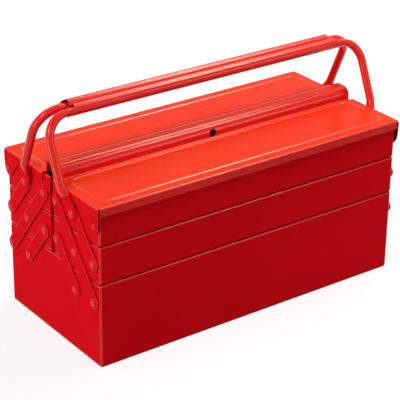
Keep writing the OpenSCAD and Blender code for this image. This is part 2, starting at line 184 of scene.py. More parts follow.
def make_camera():
    """The camera at the photo's place, turned a little around its own axis."""
    data = bpy.data.cameras.new("camera")
    data.sensor_width = CAMERA_SENSOR
    data.lens = CAMERA_LENS
    data.clip_start, data.clip_end = CAMERA_CLIP
    camera = bpy.data.objects.new("camera", data)
    bpy.context.scene.collection.objects.link(camera)
    facing = (CAMERA_AIM - CAMERA_EYE).to_track_quat("-Z", "Y").to_matrix().to_4x4()
    roll = Matrix.Rotation(CAMERA_ROLL, 4, "Z")
    camera.matrix_world = Matrix.Translation(CAMERA_EYE) @ facing @ roll
    bpy.context.scene.camera = camera


def make_lamp(name, place, aim, size, power, colour):
    """A rectangular lamp."""
    data = bpy.data.lights.new(name, "AREA")
    data.shape = "RECTANGLE"
    data.size, data.size_y = size
    data.energy = power
    data.color = colour
    lamp = bpy.data.objects.new(name, data)
    bpy.context.scene.collection.objects.link(lamp)
    lamp.location = place
    lamp.rotation_mode = "QUATERNION"
    lamp.rotation_quaternion = (Vector(aim) - Vector(place)).to_track_quat("-Z", "Y")


def grey(level):
    """Opaque grey of this level."""
    return level, level, level, 1


def add_node(nodes, kind, values):
    """A node of this kind, with values for its inputs."""
    node = nodes.new(kind)
    for name, value in values.items():
        node.inputs[name].default_value = value
    return node


def seen_ray(nodes, links):
    """Socket that is 1 for rays that show the background: camera, glossy and transmission rays."""
    path = nodes.new("ShaderNodeLightPath")
    total = path.outputs["Is Camera Ray"]
    for ray in ("Is Glossy Ray", "Is Transmission Ray"):
        larger = nodes.new("ShaderNodeMath")
        larger.operation = "MAXIMUM"
        links.new(total, larger.inputs[0])
        links.new(path.outputs[ray], larger.inputs[1])
        total = larger.outputs[0]
    return total


def show_either(nodes, links, lighting, seen, output_kind):
    """Sends seen to the output for rays that show the background, and lighting for all others."""
    mix = nodes.new("ShaderNodeMixShader")
    output = nodes.new(output_kind)
    links.new(seen_ray(nodes, links), mix.inputs["Fac"])
    links.new(lighting.outputs[0], mix.inputs[1])
    links.new(seen.outputs[0], mix.inputs[2])
    links.new(mix.outputs[0], output.inputs["Surface"])


def make_world():
    """White where it is seen, and a grey fill for the light that it gives."""
    world = bpy.data.worlds.new("studio")
    bpy.context.scene.world = world
    world.use_nodes = True
    nodes, links = world.node_tree.nodes, world.node_tree.links
    nodes.clear()
    seen = add_node(nodes, "ShaderNodeBackground", {"Color": WHITE, "Strength": 1})
    fill = add_node(nodes, "ShaderNodeBackground", {"Color": WHITE, "Strength": WORLD_FILL})
    show_either(nodes, links, fill, seen, "ShaderNodeOutputWorld")


def make_floor():
    """Pale floor that shows white with the object's soft shadow."""
    bpy.ops.mesh.primitive_plane_add(size=FLOOR_SIZE)
    floor = bpy.context.object
    floor.name = "floor"
    material = bpy.data.materials.new("floor")
    material.use_nodes = True
    nodes, links = material.node_tree.nodes, material.node_tree.links
    nodes.clear()
    lit = add_node(nodes, "ShaderNodeBsdfDiffuse", {"Color": grey(FLOOR_LIT_GREY)})
    faint = add_node(nodes, "ShaderNodeBsdfDiffuse", {"Color": grey(FLOOR_SEEN_GREY)})
    glow = add_node(nodes, "ShaderNodeEmission", {"Color": WHITE, "Strength": FLOOR_GLOW})
    shown = nodes.new("ShaderNodeAddShader")
    links.new(faint.outputs[0], shown.inputs[0])
    links.new(glow.outputs[0], shown.inputs[1])
    show_either(nodes, links, lit, shown, "ShaderNodeOutputMaterial")
    floor.data.materials.append(material)


# Materials. Each noise has its scale and detail, and each range the noise values that it spreads
# over the whole change. Roughness varies between two shares of the enamel's own.

DRIFT_NOISE = (9, 3)
DRIFT_RANGE = (0.35, 0.6)
SMUDGE_NOISE = (30, 4)
SMUDGE_RANGE = (0.3, 0.7)
SMUDGE_ROUGHNESS = (0.85, 1.2)
PEEL_NOISE = (700, 2)
PEEL_STRENGTH = 0.12
PEEL_HEIGHT = 0.00004
GLOSS_TINT = (1, 0.75, 0.6, 1)


def make_enamel(name, colour, deep, roughness, specular):
    """Sprayed enamel with orange peel and faint smudges. Its colour drifts slowly to a deeper one."""
    material = bpy.data.materials.new(name)
    material.use_nodes = True
    nodes, links = material.node_tree.nodes, material.node_tree.links
    shader = nodes["Principled BSDF"]
    place = nodes.new("ShaderNodeTexCoord").outputs["Object"]

    def noise(scale, detail):
        node = add_node(nodes, "ShaderNodeTexNoise", {"Scale": scale, "Detail": detail})
        links.new(place, node.inputs["Vector"])
        return node.outputs["Fac"]

    def spread(value, limits, low, high):
        node = add_node(nodes, "ShaderNodeMapRange", {"From Min": limits[0], "From Max": limits[1],
                                                      "To Min": low, "To Max": high})
        links.new(value, node.inputs["Value"])
        return node.outputs[0]

    if deep == colour:
        shader.inputs["Base Color"].default_value = (*colour, 1)
    else:
        drift = nodes.new("ShaderNodeMix")
        drift.data_type = "RGBA"
        drift.inputs["A"].default_value = (*deep, 1)
        drift.inputs["B"].default_value = (*colour, 1)
        links.new(spread(noise(*DRIFT_NOISE), DRIFT_RANGE, 0, 1), drift.inputs["Factor"])
        links.new(drift.outputs["Result"], shader.inputs["Base Color"])

    low, high = (roughness * share for share in SMUDGE_ROUGHNESS)
    links.new(spread(noise(*SMUDGE_NOISE), SMUDGE_RANGE, low, high), shader.inputs["Roughness"])

    peel = add_node(nodes, "ShaderNodeBump", {"Strength": PEEL_STRENGTH, "Distance": PEEL_HEIGHT})
    links.new(noise(*PEEL_NOISE), peel.inputs["Height"])
    links.new(peel.outputs[0], shader.inputs["Normal"])
    shader.inputs["Specular IOR Level"].default_value = specular
    shader.inputs["Specular Tint"].default_value = GLOSS_TINT
    return material


# Shapes: each is a pair of a list of points and a list of faces


def joined(shapes):
    """One shape from several."""
    points, faces = [], []
    for more_points, more_faces in shapes:
        start = len(points)
        points += more_points
        faces += [[start + corner for corner in face] for face in more_faces]
    return points, faces


def mirrored(shape, x=1, y=1):
    """The shape mirrored across the middle of the box: x = -1 to the right end, y = -1 to the rear."""
    points, faces = shape
    moved = [(px * x, py * y, pz) for px, py, pz in points]
    return moved, [face[::-1] for face in faces] if x * y < 0 else faces


def both_ends(shape):
    """The shape at the left end and its mirror image at the right end."""
    return joined([shape, mirrored(shape, x=-1)])


def grid(rows, closed=False):
    """Faces between rows of points; closed joins the last point of each row to its first."""
    count = len(rows[0])
    points = [point for row in rows for point in row]
    faces = []
    for row in range(len(rows) - 1):
        for column in range(count if closed else count - 1):
            after = (column + 1) % count
            low, high = row * count, (row + 1) * count
            faces.append([low + column, low + after, high + after, high + column])
    return points, faces


def capped(rows):
    """A closed skin through rings of points, with a face over the first and the last ring."""
    points, faces = grid(rows, closed=True)
    count = len(rows[0])
    faces.append(list(range(count))[::-1])
    faces.append(list(range(len(points) - count, len(points))))
    return points, faces


def steps(start, end, count):
    """Numbers from start to end in a count of equal steps."""
    return [start + (end - start) * step / count for step in range(count + 1)]


def lines(*spans):
    """Grid lines through spans of (start, end, number of steps), each span starting where one ended."""
    places = [spans[0][0]]
    for start, end, count in spans:
        places += steps(start, end, count)[1:]
    return places


def arc(centre, radius, start, end, count):
    """Points on an arc, with angles in degrees."""
    return [(centre[0] + radius * math.cos(math.radians(angle)),
             centre[1] + radius * math.sin(math.radians(angle))) for angle in steps(start, end, count)]


# Pieces. Edges sharper than these angles, in degrees, are shaded as edges, and faces further than
# CURVED_ANGLE from every axis count as curved.

SHARP_ANGLE = 35
SHARP_SHEET_ANGLE = 60
SHARP_TUBE_ANGLE = 50
CURVED_ANGLE = 9
MERGE_DISTANCE = 1e-6
FLAT_SHARE = math.cos(math.radians(CURVED_ANGLE))
SIDES = (("front", 1), ("rear", -1))

# Places of the finishes in each material slot's list
FLAT, BENDS, SHADE = range(3)
LID_PANEL, LID_HOOD, LID_SHEEN_SIDES, LID_SLIT_SHADE, LID_FOLDS, LID_ENDS = range(6)
TUBE, TABS, SLEEVE_SHADE = range(3)


def even_shading(piece):
    """Keeps large flat faces flat where they meet a bend."""
    shading = piece.modifiers.new("shading", "WEIGHTED_NORMAL")
    shading.keep_sharp = True


def is_curved(face):
    """Whether a face is part of a bend."""
    return max(abs(part) for part in face.normal) < FLAT_SHARE


def make_piece(name, shape, body, slot, node, sharp=SHARP_ANGLE):
    """One object from a shape in millimetres, which stands for a node and rides with its body."""
    mesh = bpy.data.meshes.new(name)
    points, faces = shape
    mesh.from_pydata([(x * MM, y * MM, z * MM) for x, y, z in points], [], faces)
    work = bmesh.new()
    work.from_mesh(mesh)
    bmesh.ops.remove_doubles(work, verts=work.verts, dist=MERGE_DISTANCE)
    bmesh.ops.recalc_face_normals(work, faces=work.faces)
    work.to_mesh(mesh)
    work.free()
    mesh.shade_smooth()
    mesh.set_sharp_from_angle(angle=math.radians(sharp))
    for material in materials[slot]:
        mesh.materials.append(material)
    if len(materials[slot]) > 1:
        for face in mesh.polygons:
            face.material_index = BENDS if is_curved(face) else FLAT
    piece = bpy.data.objects.new(name, mesh)
    bpy.context.scene.collection.objects.link(piece)
    even_shading(piece)
    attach(piece, body)
    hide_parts(node)
    return piece


# Box and trays

# The corners' signs of X and Y, in turn
CORNERS = ((1, 1), (-1, 1), (-1, -1), (1, -1))
CORNER_STEPS = 6
SIDE_STEPS = 14
BEND_STEPS = 5
WALL_STEPS = 7
LEAST_BEND = 0.3
# The long walls curve in by this much at their middle
WALL_DENT = 0.35
# Radii of the rim's outer and inner round, and the straight wall below the outer one
RIM_ROUND = 1.8
RIM_ROUND_STEPS = 7
RIM_EDGE = 0.3
RIM_EDGE_STEPS = 3
RIM_STRAIGHT = 0.5
# Bevel of the folded rim's lower edge, and the drop from there to the wall
FOLD_EDGE = 0.4
FOLD_DROP = 0.2

# Faces of a tray in the shade point down by more than SHADED_Z, or lie behind a lid's ear, within
# SHADED_END and SHADED_FRONT of the end wall's and the long wall's outside, or face the trays of
# the other side, within SHADED_MIDDLE of the gap and turned to it by more than FACING_SHARE
SHADED_Z = -0.25
SHADED_END = 1.7
SHADED_FRONT = 2.7
SHADED_MIDDLE = 2
FACING_SHARE = 0.3


def wall_ring(length, width, inset, z, dent):
    """Rounded rectangle of points at height z; its long sides curve in by dent."""
    radius = max(WALL_BEND - inset, LEAST_BEND)
    half_l, half_w = length / 2 - inset, width / 2 - inset
    ring = []
    for corner, (sx, sy) in enumerate(CORNERS):
        centre = (sx * (half_l - radius), sy * (half_w - radius))
        ring += arc(centre, radius, 90 * corner, 90 * corner + 90, CORNER_STEPS)
        next_sx, next_sy = CORNERS[(corner + 1) % 4]
        along_x = corner % 2 == 0
        after_x = next_sx * (half_l - radius if along_x else half_l)
        after_y = next_sy * (half_w if along_x else half_w - radius)
        last_x, last_y = ring[-1]
        for step in range(1, SIDE_STEPS):
            part = step / SIDE_STEPS
            x = last_x + (after_x - last_x) * part
            y = last_y + (after_y - last_y) * part
            if along_x:
                y -= sy * dent * math.sin(math.pi * part) ** 2
            ring.append((x, y))
    return [(x, y, z) for x, y in ring]


def open_box(length, width, height, centre_y, floor_z):
    """Sheet box with soft bends, slightly hollow long walls and a rolled rim."""
    fold_z = height - RIM_DEPTH
    section = [(WALL_BEND - y, WALL_BEND - z) for y, z in arc((0, 0), WALL_BEND, 90, 0, BEND_STEPS)]
    section += [(0, z) for z in steps(WALL_BEND, fold_z, WALL_STEPS)[1:]]
    section += [(0, height - RIM_ROUND - RIM_STRAIGHT)]
    section += arc((RIM_ROUND, height - RIM_ROUND), RIM_ROUND, 180, 90, RIM_ROUND_STEPS)
    section += arc((RIM_T - RIM_EDGE, height - RIM_EDGE), RIM_EDGE, 90, 0, RIM_EDGE_STEPS)
    section += [(RIM_T, fold_z + FOLD_EDGE), (RIM_T - FOLD_EDGE, fold_z), (SHEET, fold_z - FOLD_DROP)]
    section += [(SHEET, z) for z in steps(fold_z, WALL_BEND, WALL_STEPS)[1:]]
    section += [(WALL_BEND - y, WALL_BEND - z)
                for y, z in arc((0, 0), WALL_BEND - SHEET, 0, 90, BEND_STEPS)][1:]
    rings = []
    for inset, z in section:
        dent = WALL_DENT * math.sin(math.pi * min(max(z / height, 0), 1)) if inset <= SHEET else 0
        rings.append([(x, y + centre_y, z + floor_z) for x, y, z in
                      wall_ring(length, width, inset, z, dent)])
    return capped(rings)


def shade_joints(mesh):
    """Gives a tray the shaded enamel under its bends, where trays meet, and behind a lid's ears."""
    for face in mesh.polygons:
        x, y, z = (abs(part) / MM for part in face.center)
        behind_ear = x > WALL_X - SHADED_END and y > WALL_Y - SHADED_FRONT and z > EAR_Z - EAR_R
        near_middle = y < TRAY_GAP / 2 + SHADED_MIDDLE and z > BASE_H
        between_trays = near_middle and abs(face.normal.y) > FACING_SHARE
        if face.normal.z < SHADED_Z or behind_ear or between_trays:
            face.material_index = SHADE


def make_trays():
    """The bottom box and the four trays."""
    shells = [make_piece("bottom_box_shell", open_box(2 * WALL_X, 2 * WALL_Y, BASE_H, 0, 0),
                         "base", "body_enamel", "bottom_box")]
    for side, sign in SIDES:
        for level, floor_z in (("middle", MIDDLE_Z), ("upper", UPPER_Z)):
            shape = open_box(2 * WALL_X, TRAY_W, TRAY_H, -(TRAY_GAP + TRAY_W) / 2, floor_z)
            shells.append(make_piece(f"{side}_{level}_tray_shell", mirrored(shape, y=sign),
                                     f"{side}_{level}_tier", "body_enamel", f"{side}_{level}_tray"))
    for shell in shells:
        shade_joints(shell.data)


# Lids: one sheet each, folded down at the front and ends, thickened afterwards. The grid's lines
# are closer where the bead runs: near the ends between END_BEAD_X, along the front between
# FRONT_BEAD_Y, and along the hood from BACK_BEAD_Y.

END_BEAD_X = (189, 205)
FRONT_BEAD_Y = (-89, -74)
BACK_BEAD_Y = -31
# Half the width of the bead, and how far a lid's panel is crowned at its middle
BEAD_REACH = 2.4
LID_CROWN = 0.35
FOLD_STEPS = 5
FOOT_STEPS = 4
HOOD_STEPS = 10
LIP_STEPS = 7
FLANGE_STEPS = 3
SAME_LINE = 0.01
# An ear's front edge leans back by EAR_LEAN at its lower end. The lean fades out at EAR_LEAN_Y,
# and grows downwards with this power of the depth
EAR_LEAN = 3
EAR_LEAN_Y = 89
EAR_LEAN_POWER = 1.5
# Shares of an end skirt's height at which its points lie, and their distances from the front
EAR_PARTS = (0.04, 0.2, 0.35, 0.5, 0.65, 0.8, 0.9, 1)
CORNER_LINES = (0, 0.25, 0.7, LID_BEND)
# Bevel of the cut edges of a sheet, where its faces meet at more than this angle
CUT_EDGE = 0.25
CUT_EDGE_ANGLE = 60
CUT_EDGE_STEPS = 2
HOLE_SIDES = 48
HOLE_DEPTH = 8

# The hood's faces start this far above the bead, and those that point up by more than HOOD_FLAT
# take the panel's enamel, whose warmer red is painted light
HOOD_START = 0.4
HOOD_FLAT = 0.995
# A slit's faces, which take a painted shade, point along Y by more than SLIT_SHARE, and lie this far
# below the top and no further than this inside the slit
SLIT_SHARE = 0.5
SLIT_END = 0.8
SLIT_MARGIN = 0.1
# The bead's faces start at this height over the panel
BEAD_START = 0.03


def bead_height(x, y):
    """Height of the stamped bead at a point of the front lid's panel."""
    back = HOOD_HALF_W + BEAD_HOOD_GAP
    front = BOX_W / 2 - BEAD_INSET
    half_l, half_w = LID_L / 2 - BEAD_INSET - BEAD_CORNER, (front - back) / 2 - BEAD_CORNER
    dx, dy = abs(x) - half_l, abs(y + (front + back) / 2) - half_w
    outside = math.hypot(max(dx, 0), max(dy, 0)) + min(max(dx, dy), 0)
    away = abs(outside - BEAD_CORNER)
    return BEAD_H * (1 + math.cos(math.pi * away / BEAD_REACH)) / 2 if away < BEAD_REACH else 0


def ear_edge(y):
    """Height of the lower edge of an end skirt with its ear, at y."""
    reach_y, reach_z = EAR_TAPER - EAR_R, SKIRT_Z - EAR_Z
    corner_y = reach_y + EAR_R
    slope = math.atan2(reach_z, corner_y) - math.acos(EAR_R / math.hypot(corner_y, reach_z))
    touch_y, touch_z = EAR_R * math.cos(slope), EAR_R * math.sin(slope)
    across = y + EAR_Y
    if across <= touch_y:
        return EAR_Z - math.sqrt(max(EAR_R ** 2 - across ** 2, 0))
    part = (across - touch_y) / (corner_y - touch_y)
    return min(EAR_Z + touch_z + (SKIRT_Z - EAR_Z - touch_z) * part, SKIRT_Z)


def ear_column(y):
    """Points down the left end's skirt and ear at y, drawn back from the front as they get lower."""
    top_z = LID_TOP - LID_BEND
    front = max(-y - EAR_LEAN_Y, 0) / (BOX_W / 2 - EAR_LEAN_Y)
    column = []
    for part in EAR_PARTS:
        z = top_z + (ear_edge(y) - top_z) * part
        depth = max(SKIRT_Z - z, 0) / (SKIRT_Z - EAR_Z + EAR_R)
        column.append((-LID_L / 2, y + EAR_LEAN * depth ** EAR_LEAN_POWER * front, z))
    return column


def lid_sheet(inner_y, inner_profile):
    """Patches of a front lid: panel, front fold, end folds with ears, and what rises at inner_y."""
    start_x, end_x = END_BEAD_X
    half = lines((0, start_x, 24), (start_x, end_x, 29), (end_x, HOOD_X, 3), (HOOD_X, LID_SLIT_X, 3),
                 (LID_SLIT_X, LID_FOLD_X, 1))
    across = [-x for x in half[:0:-1]] + half
    near_y, far_y = FRONT_BEAD_Y
    deep = lines((-LID_FOLD_Y, near_y, 14), (near_y, far_y, 27), (far_y, BACK_BEAD_Y, 8),
                 (BACK_BEAD_Y, FLANGE_FOOT, 27))
    if inner_y > FLANGE_FOOT:
        deep.append(inner_y)
    middle = (inner_y - LID_FOLD_Y) / 2
    half_w = (inner_y + LID_FOLD_Y) / 2

    def top(x, y):
        crown = LID_CROWN * (1 - (x / LID_FOLD_X) ** 2) * (1 - ((y - middle) / half_w) ** 2)
        return LID_TOP + bead_height(x, y) + crown

    def strip(profile, reach):
        return grid([[(x, y, z) for x in across if abs(x) <= reach + SAME_LINE] for y, z in profile])

    panel = grid([[(x, y, top(x, y)) for x in across] for y in deep])
    fold = arc((0, 0), LID_BEND, 90, 180, FOLD_STEPS)
    skirt = [(-LID_FOLD_Y + y, LID_TOP - LID_BEND + z) for y, z in fold]
    skirt += [(-BOX_W / 2, SKIRT_Z)]
    end = grid([[(-LID_FOLD_X + x, y, LID_TOP - LID_BEND + z) for x, z in fold] + ear_column(y)
                for y in deep])
    edge = grid([ear_column(-BOX_W / 2 + line) for line in CORNER_LINES])
    return joined([panel, strip(skirt, LID_SLIT_X), both_ends(end), both_ends(edge),
                   strip(inner_profile, HOOD_X)])


def hood_profile():
    """Section of the hood from its foot on the front lid to its rear lip, as (y, z) points."""
    foot = arc((-HOOD_FOOT, LID_TOP + LID_BEND), LID_BEND, -90, 0, FOOT_STEPS)
    side_z = LID_TOP + HOOD_H - HOOD_R
    side_y = HOOD_HALF_W - HOOD_R
    lip = math.degrees(math.asin((LID_TOP + LIP_H - side_z) / HOOD_R))
    return (foot + arc((-side_y, side_z), HOOD_R, 180, 90, HOOD_STEPS)
            + arc((side_y, side_z), HOOD_R, 90, lip, LIP_STEPS))


def flange_profile():
    """Section of the rear lid's flange, drawn at the front, as (y, z) points."""
    face_y = -FLANGE_Y - SHEET
    foot = arc((FLANGE_FOOT, LID_TOP - FLANGE_FOOT + face_y), face_y - FLANGE_FOOT, -90, 0, FOOT_STEPS)
    return foot + [(face_y, z) for z in steps(foot[-1][1], LID_TOP + FLANGE_H, FLANGE_STEPS)[1:]]


def settle(piece):
    """Puts the modifiers' result into the piece's own mesh."""
    graph = bpy.context.evaluated_depsgraph_get()
    mesh = bpy.data.meshes.new_from_object(piece.evaluated_get(graph))
    piece.modifiers.clear()
    piece.data = mesh
    even_shading(piece)


def drill(piece, radius, y, z):
    """Cuts a round hole along Y through a piece, at the middle of the box."""
    bpy.ops.mesh.primitive_cylinder_add(vertices=HOLE_SIDES, radius=radius * MM, depth=HOLE_DEPTH * MM,
                                        location=(0, y * MM, z * MM), rotation=(math.pi / 2, 0, 0))
    cutter = bpy.context.object
    piece.modifiers.clear()
    hole = piece.modifiers.new("hole", "BOOLEAN")
    hole.operation = "DIFFERENCE"
    hole.object = cutter
    hole.solver = "EXACT"
    settle(piece)
    bpy.data.objects.remove(cutter)


def thicken(piece):
    """Gives a sheet its thickness inwards, and rounds its cut edges."""
    piece.modifiers.clear()
    shell = piece.modifiers.new("sheet", "SOLIDIFY")
    shell.thickness = SHEET * MM
    shell.offset = -1
    shell.use_even_offset = True
    edge = piece.modifiers.new("edge", "BEVEL")
    edge.width = CUT_EDGE * MM
    edge.segments = CUT_EDGE_STEPS
    edge.limit_method = "ANGLE"
    edge.angle_limit = math.radians(CUT_EDGE_ANGLE)
    settle(piece)


def face_up(piece):
    """Turns a sheet's faces so that its panel faces up."""
    mesh = piece.data
    total = sum(face.normal.z * face.area for face in mesh.polygons)
    if total < 0:
        mesh.flip_normals()


def lid_finish(face):
    """Which of a lid's finishes a face takes."""
    x, y, z = (part / MM for part in face.center)
    at_slit = abs(x) > LID_SLIT_X - SLIT_MARGIN and abs(y) > LID_FOLD_Y and z < LID_TOP - SLIT_END
    inner_side = abs(x) > LID_SLIT_X and face.normal.x * x < -abs(x) / 2
    # Faces in a slit and on the inner side of an end skirt take the painted shade, a near-black red
    if at_slit and abs(face.normal.y) > SLIT_SHARE or inner_side:
        return LID_SLIT_SHADE
    if z > LID_TOP + BEAD_H + HOOD_START:
        return LID_PANEL if face.normal.z > HOOD_FLAT else LID_HOOD
    if is_curved(face) or bead_height(x, -abs(y)) > BEAD_START:
        return LID_FOLDS
    if abs(face.normal.x) > FLAT_SHARE:
        return LID_ENDS
    # Flat faces take the panel's warmer red, painted light, and those along Y, the front and rear skirt
    # faces, a pinker red that is painted sheen
    return LID_PANEL if abs(face.normal.z) > FLAT_SHARE else LID_SHEEN_SIDES


def make_lids():
    """The front lid with the hood, and the rear lid with the flange behind it."""
    front = make_piece("front_lid_sheet", lid_sheet(-HOOD_FOOT, hood_profile()),
                       "front_lid_flap", "lid_enamel", "front_lid", SHARP_SHEET_ANGLE)
    flange = flange_profile()
    rear = make_piece("rear_lid_sheet", mirrored(lid_sheet(flange[0][0], flange), y=-1),
                      "rear_lid_flap", "lid_enamel", "rear_lid", SHARP_SHEET_ANGLE)
    for lid in (front, rear):
        face_up(lid)
        thicken(lid)
    drill(front, PADLOCK_R + PADLOCK_PLAY, -HOOD_HALF_W, PADLOCK_Z)
    drill(rear, PADLOCK_R, FLANGE_Y, PADLOCK_Z)
    for lid in (front, rear):
        for face in lid.data.polygons:
            face.material_index = lid_finish(face)


# Arms, rivets and washers

# Share of a plate's rounded edge at which its middle ring lies, and the edge's size on an arm
PLATE_EDGE_MID = 0.3
ARM_EDGE = 0.45
ARM_END_STEPS = 14
TURN_STEPS = 32
# Radius of the smallest ring of a rivet, and the bevels of its inner head and outer head
AXIS_R = 0.01
TAIL_EDGE_R = 0.5
TAIL_EDGE_H = 0.4
HEAD_EDGE_R = 0.1
HEAD_EDGE_H = 0.25
WASHER_EDGE = 0.2
# Shares of a rivet head's radius and height, from its rim to the dimple in its middle
HEAD_DOME = ((0.93, 0.48), (0.8, 0.78), (0.66, 0.95), (0.54, 1), (0.42, 0.95), (0.3, 0.8),
             (0.18, 0.68), (0, 0.64))
# Name, row and level of the lower pivot, and number of tiers that the arm spans
ARMS = (("long", ROW_OUT, "base", 2), ("lower", ROW_MID, "base", 1), ("upper", ROW_OUT, "middle", 1))


def plate(outline, x0, x1, soft):
    """Plate between x0 and x1 from an outline of (y, z) points, with rounded edges."""
    count = len(outline)
    inner = []
    for index in range(count):
        before, after = outline[index - 1], outline[(index + 1) % count]
        run_y, run_z = after[0] - before[0], after[1] - before[1]
        size = math.hypot(run_y, run_z)
        inner.append((outline[index][0] - soft * run_z / size, outline[index][1] + soft * run_y / size))
    low, high = PLATE_EDGE_MID, 1 - PLATE_EDGE_MID
    between = [(a[0] * low + b[0] * high, a[1] * low + b[1] * high) for a, b in zip(inner, outline)]
    levels = ((x0, inner), (x0 + low * soft, between), (x0 + soft, outline),
              (x1 - soft, outline), (x1 - low * soft, between), (x1, inner))
    return capped([[(x, y, z) for y, z in rim] for x, rim in levels])


def arm(y, z, tiers):
    """Flat arm with round ends from a lower pivot, at the front of the left end."""
    length = tiers * ARM_L
    outline = arc((length, 0), ARM_W / 2, -90, 90, ARM_END_STEPS)
    outline += arc((0, 0), ARM_W / 2, 90, 270, ARM_END_STEPS)
    cos, sin = math.cos(ARM_ANGLE), math.sin(ARM_ANGLE)
    leant = [(-y + a * cos - b * sin, z + a * sin + b * cos) for a, b in outline]
    return plate(leant, -ARM_X - ARM_T, -ARM_X, ARM_EDGE)


def make_arms():
    """The twelve arms."""
    for kind, y, level, tiers in ARMS:
        for end, x in (("left", 1), ("right", -1)):
            for side, sign in SIDES:
                shape = mirrored(arm(y, LEVELS[level], tiers), x=x, y=sign)
                make_piece(f"{side}_{end}_{kind}_bar", shape, f"{side}_{kind}_arms", "arm_enamel",
                           f"{side}_{end}_{kind}_arm")


def rings_about(profile, y, z):
    """Rings around a pivot at the left end, from (radius, distance outwards) pairs."""
    rings = []
    for radius, out in profile:
        rings.append([(-out, -y + radius * math.cos(turn), z + radius * math.sin(turn))
                      for turn in steps(0, 2 * math.pi, TURN_STEPS)[:-1]])
    return rings


def rivet(y, z, head_x, shank=RIVET_R, head=HEAD_R, tail=TAIL_R):
    """Rivet with a peened head: a ring with a shallow dimple in its middle."""
    inside = WALL_X - SHEET
    tail_x = inside - TAIL_H
    profile = [(AXIS_R, tail_x), (tail - TAIL_EDGE_R, tail_x), (tail, tail_x + TAIL_EDGE_H),
               (tail, inside), (shank, inside), (shank, head_x), (head - HEAD_EDGE_R, head_x),
               (head, head_x + HEAD_EDGE_H)]
    profile += [(max(head * part, AXIS_R), head_x + HEAD_H * rise) for part, rise in HEAD_DOME]
    return capped(rings_about(profile, y, z))


def washer(y, z, thick=WASHER_T, radius=WASHER_R, bore=RIVET_R + WASHER_PLAY):
    """Flat washer on the outside of the end wall."""
    top = WALL_X + thick
    profile = [(bore, WALL_X), (radius, WALL_X), (radius, top - WASHER_EDGE),
               (radius - WASHER_EDGE, top), (bore, top), (bore, WALL_X)]
    return grid(rings_about(profile, y, z), closed=True)


def make_set(name, shapes, sign, body, slot, node):
    """One piece from shapes that are drawn for the front and the left end, on both ends of a side."""
    make_piece(name, mirrored(joined([both_ends(shape) for shape in shapes]), y=sign), body, slot, node)


def make_rivets():
    """The rivets and washers of the bottom box, and those of each tray, handle and lid."""
    rivet_rows = {"middle": (ROW_IN, ROW_MID, ROW_OUT), "upper": (ROW_IN,)}
    washer_rows = {"middle": (ROW_IN, ROW_MID, ROW_OUT), "upper": (ROW_IN, ROW_MID)}
    base_rows = (-ROW_OUT, -ROW_MID, ROW_MID, ROW_OUT)
    make_set("base_rivet_heads", [rivet(y, LEVELS["base"], ARM_HEAD_X) for y in base_rows], 1,
             "base", "rivet_enamel", "base_rivets")
    make_set("base_washer_rings", [washer(y, LEVELS["base"]) for y in base_rows], 1,
             "base", "arm_enamel", "base_washers")
    for side, sign in SIDES:
        for level in ("middle", "upper"):
            z = LEVELS[level]
            make_set(f"{side}_{level}_rivet_heads", [rivet(y, z, ARM_HEAD_X) for y in rivet_rows[level]],
                     sign, f"{side}_{level}_tier", "rivet_enamel", f"{side}_{level}_rivets")
            make_set(f"{side}_{level}_washer_rings", [washer(y, z) for y in washer_rows[level]],
                     sign, f"{side}_{level}_tier", "arm_enamel", f"{side}_{level}_washers")
        body = f"{side}_upper_tier"
        make_set(f"{side}_handle_rivet_heads", [rivet(ROW_MID, LEVELS["upper"], TAB_HEAD_X)],
                 sign, body, "rivet_enamel", f"{side}_handle_rivets")
        lid_rivet = rivet(EAR_Y, EAR_Z, EAR_HEAD_X, LID_RIVET_R, LID_HEAD_R, LID_TAIL_R)
        make_set(f"{side}_lid_rivet_heads", [lid_rivet], sign, body, "rivet_enamel",
                 f"{side}_lid_rivets")
        lid_washer = washer(EAR_Y, EAR_Z, LID_END_GAP - ARM_PLAY, LID_WASHER_R,
                            LID_RIVET_R + WASHER_PLAY)
        make_set(f"{side}_lid_washer_rings", [lid_washer], sign, body, "arm_enamel",
                 f"{side}_lid_washers")


# Handles and grips, drawn upright over their pivots and then leant

TUBE_STEPS = 28
TUBE_BEND_STEPS = 14
# The tube's end starts this far above its lowest point, and its first rings lie this close to it
TAB_START = 0.02
TAB_ROUND = 1
# A tab's section is this much squarer than the tube's, and thickens this much sooner than it narrows
TAB_SQUARE = 2.5
TAB_SWELL = 1.15
# The hollow pressed into the tube above the rivet: depth, height, reach along the tube, share of
# its width, and the power of its section
HOLLOW_DEPTH = 1.9
HOLLOW_Z = 15.5
HOLLOW_REACH = 4.2
HOLLOW_WIDTH = 0.62
HOLLOW_POWER = 1.5
# The tube is pressed flatter by GRIP_PRESS where it enters the grip, from this angle of its bend on
GRIP_PRESS = 0.8
PRESS_ANGLE = 45
GRIP_TURN_STEPS = 40
GRIP_LENGTH_STEPS = 24
# The plainer enamel of the tabs reaches this far past them, and faces of a sleeve's inside, which take a
# painted shade, look towards its middle from at least this distance
TAB_FINISH = 12
SLEEVE_LEAST_R = 2


def lean_over(points):
    """Leans points that are drawn upright over the front handle's pivot."""
    cos, sin = math.cos(LEAN), math.sin(LEAN)
    return [(x, -ROW_MID + y * cos + z * sin, LEVELS["upper"] - y * sin + z * cos) for x, y, z in points]


def tube_ring(centre, out, half_t, half_w, power, hollow):
    """Ring of a tube: a superellipse across out and Y, with a hollow in its outer face."""
    ring = []
    for turn in steps(0, 2 * math.pi, TUBE_STEPS)[:-1]:
        cos, sin = math.cos(turn), math.sin(turn)
        a = math.copysign(abs(cos) ** (2 / power), cos) * half_t
        b = math.copysign(abs(sin) ** (2 / power), sin) * half_w
        if cos > 0:
            a -= hollow * max(1 - (b / half_w / HOLLOW_WIDTH) ** 2, 0) ** HOLLOW_POWER
        ring.append((centre[0] + a * out[0], b, centre[1] + a * out[1]))
    return ring


def smooth(part):
    """A smooth rise from 0 to 1."""
    part = min(max(part, 0), 1)
    return part * part * (3 - 2 * part)


